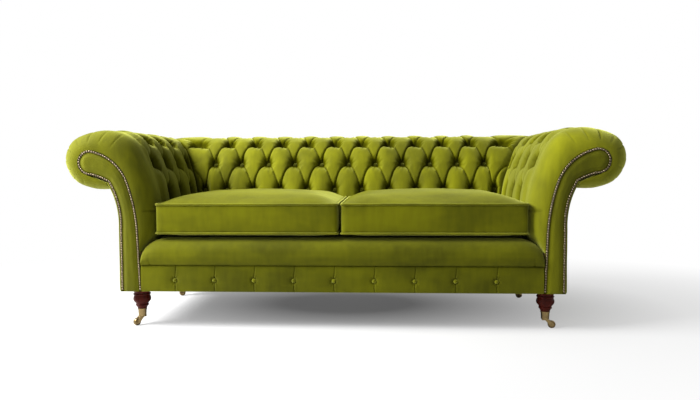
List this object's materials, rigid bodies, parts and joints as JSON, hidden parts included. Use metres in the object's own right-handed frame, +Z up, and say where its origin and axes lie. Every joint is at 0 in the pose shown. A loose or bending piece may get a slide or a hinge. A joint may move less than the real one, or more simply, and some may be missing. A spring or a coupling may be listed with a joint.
{
  "type": "chesterfield sofa",
  "caption": "Low chesterfield sofa with rolled, deep-buttoned arms and back, loose piped seat cushions, nailed scroll facings, turned legs and brass castors.",
  "frame": {"origin": "on the floor under the middle of the sofa's bounding box", "axes": "+X to the sofa's right side as seen from the front, -Y out of the front, +Z up"},
  "size_m": [2.202, 1.0054, 0.7854],
  "materials": {
    "timber": "planed beech",
    "velvet": "green cotton velvet",
    "button_velvet": "velvet over a domed button",
    "cushion_velvet": "green cotton velvet",
    "piping_velvet": "velvet over cord",
    "cushion_fill": "foam wrapped in wadding",
    "hessian": "woven jute",
    "deck_cloth": "padded deck under cloth",
    "dust_cloth": "black woven cloth",
    "spring_steel": "bright drawn wire and plate",
    "bolt_steel": "zinc plated",
    "nail_brass": "antiqued",
    "leg_mahogany": "polished dark mahogany",
    "castor_brass": "polished",
    "axle_brass": "polished",
    "wheel_brass": "polished, lightly worn tread"
  },
  "bodies": {
    "sofa": {"front_rail": "timber", "back_rail": "timber", "left_side_rail": "timber", "right_side_rail": "timber", "centre_rail": "timber", "corner_blocks": "timber", "left_scroll_board": "timber", "right_scroll_board": "timber", "arm_ribs": "timber", "back_ribs": "timber", "corner_ribs": "timber", "left_arm_top_rail": "timber", "right_arm_top_rail": "timber", "back_top_rail": "timber", "left_arm_pad": "velvet", "right_arm_pad": "velvet", "back_pad": "velvet", "left_arm_facing": "velvet", "right_arm_facing": "velvet", "left_outer_arm_cover": "velvet", "right_outer_arm_cover": "velvet", "outer_back_cover": "velvet", "front_lip_roll": "velvet", "front_border": "velvet", "left_arm_buttons": "button_velvet", "right_arm_buttons": "button_velvet", "back_buttons": "button_velvet", "front_border_buttons": "button_velvet", "arm_hessian": "hessian", "back_hessian": "hessian", "seat_hessian": "hessian", "seat_deck_pad": "deck_cloth", "dust_cover": "dust_cloth", "seat_springs": "spring_steel", "spring_clips": "spring_steel", "leg_bolts": "bolt_steel", "facing_nails": "nail_brass", "front_left_leg": "leg_mahogany", "front_right_leg": "leg_mahogany", "rear_left_leg": "leg_mahogany", "rear_right_leg": "leg_mahogany", "castor_cups": "castor_brass"},
    "front_left_castor": {"front_left_castor_fork": "castor_brass", "front_left_castor_axle": "axle_brass"},
    "front_left_wheel": {"front_left_castor_wheel": "wheel_brass"},
    "front_right_castor": {"front_right_castor_fork": "castor_brass", "front_right_castor_axle": "axle_brass"},
    "front_right_wheel": {"front_right_castor_wheel": "wheel_brass"},
    "rear_left_castor": {"rear_left_castor_fork": "castor_brass", "rear_left_castor_axle": "axle_brass"},
    "rear_left_wheel": {"rear_left_castor_wheel": "wheel_brass"},
    "rear_right_castor": {"rear_right_castor_fork": "castor_brass", "rear_right_castor_axle": "axle_brass"},
    "rear_right_wheel": {"rear_right_castor_wheel": "wheel_brass"},
    "left_cushion": {"left_cushion_cover": "cushion_velvet", "left_cushion_core": "cushion_fill", "left_cushion_piping": "piping_velvet"},
    "right_cushion": {"right_cushion_cover": "cushion_velvet", "right_cushion_core": "cushion_fill", "right_cushion_piping": "piping_velvet"}
  },
  "joints": [
    {"name": "front_left_swivel", "type": "hinge", "parent": "sofa", "child": "front_left_castor", "pos_m": [-0.8055, -0.4285, 0.04], "axis": [0, 0, 1], "continuous": true},
    {"name": "front_left_roll", "type": "hinge", "parent": "front_left_castor", "child": "front_left_wheel", "pos_m": [-0.82054, -0.44847, 0.015], "axis": [0.7986, -0.6018, 0], "continuous": true},
    {"name": "front_right_swivel", "type": "hinge", "parent": "sofa", "child": "front_right_castor", "pos_m": [0.8055, -0.4285, 0.04], "axis": [0, 0, 1], "continuous": true},
    {"name": "front_right_roll", "type": "hinge", "parent": "front_right_castor", "child": "front_right_wheel", "pos_m": [0.83036, -0.43111, 0.015], "axis": [0.1045, 0.9945, 0], "continuous": true},
    {"name": "rear_left_swivel", "type": "hinge", "parent": "sofa", "child": "rear_left_castor", "pos_m": [-0.8055, 0.1585, 0.04], "axis": [0, 0, 1], "continuous": true},
    {"name": "rear_left_roll", "type": "hinge", "parent": "rear_left_castor", "child": "rear_left_wheel", "pos_m": [-0.8252, 0.14311, 0.015], "axis": [0.6157, -0.788, 0], "continuous": true},
    {"name": "rear_right_swivel", "type": "hinge", "parent": "sofa", "child": "rear_right_castor", "pos_m": [0.8055, 0.1585, 0.04], "axis": [0, 0, 1], "continuous": true},
    {"name": "rear_right_roll", "type": "hinge", "parent": "rear_right_castor", "child": "rear_right_wheel", "pos_m": [0.82408, 0.14177, 0.015], "axis": [0.6691, 0.7431, 0], "continuous": true},
    {"name": "left_cushion_lift", "type": "slide", "parent": "sofa", "child": "left_cushion", "axis": [0, 0, 1], "range_m": [0, 0.25]},
    {"name": "right_cushion_lift", "type": "slide", "parent": "sofa", "child": "right_cushion", "axis": [0, 0, 1], "range_m": [0, 0.25]}
  ]
}
